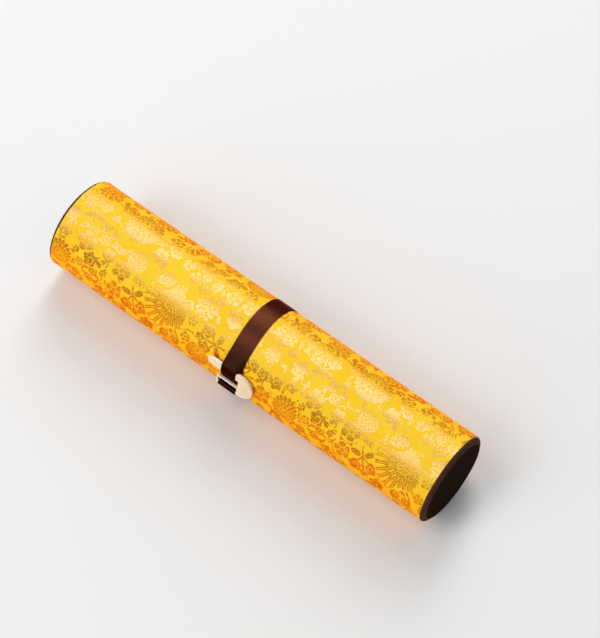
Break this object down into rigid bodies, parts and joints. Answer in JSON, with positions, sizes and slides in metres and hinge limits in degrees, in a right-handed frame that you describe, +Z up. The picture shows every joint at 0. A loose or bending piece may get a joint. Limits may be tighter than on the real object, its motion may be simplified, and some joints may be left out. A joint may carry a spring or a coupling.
{
  "type": "paper scroll",
  "caption": "Rolled paper scroll faced with patterned silk brocade, dark discs on its ends, tied round the middle by a flat ribbon with a slotted clasp.",
  "frame": {"origin": "middle of the small flat spot that the roll lies on, halfway along the roll", "axes": "+X along the roll to the right end, +Y from the clasp's side to the back, +Z up"},
  "size_m": [0.352, 0.0788, 0.0729],
  "materials": {
    "brocade_paper": "rolled mounting paper faced with yellow silk brocade, woven flowers and clouds in paler and browner thread",
    "rod_wood": "plain planed softwood",
    "dark_wood": "turned wood with a dark satin lacquer",
    "brown_ribbon": "dark brown close-woven ribbon with a soft sheen",
    "ivory_clasp": "polished ivory-coloured bone imitation"
  },
  "bodies": {
    "root": {"paper_roll": "brocade_paper", "roller_rod": "rod_wood", "left_end_disc": "dark_wood", "right_end_disc": "dark_wood", "stave": "rod_wood", "tie_ribbon": "brown_ribbon", "clasp": "ivory_clasp"}
  },
  "joints": []
}
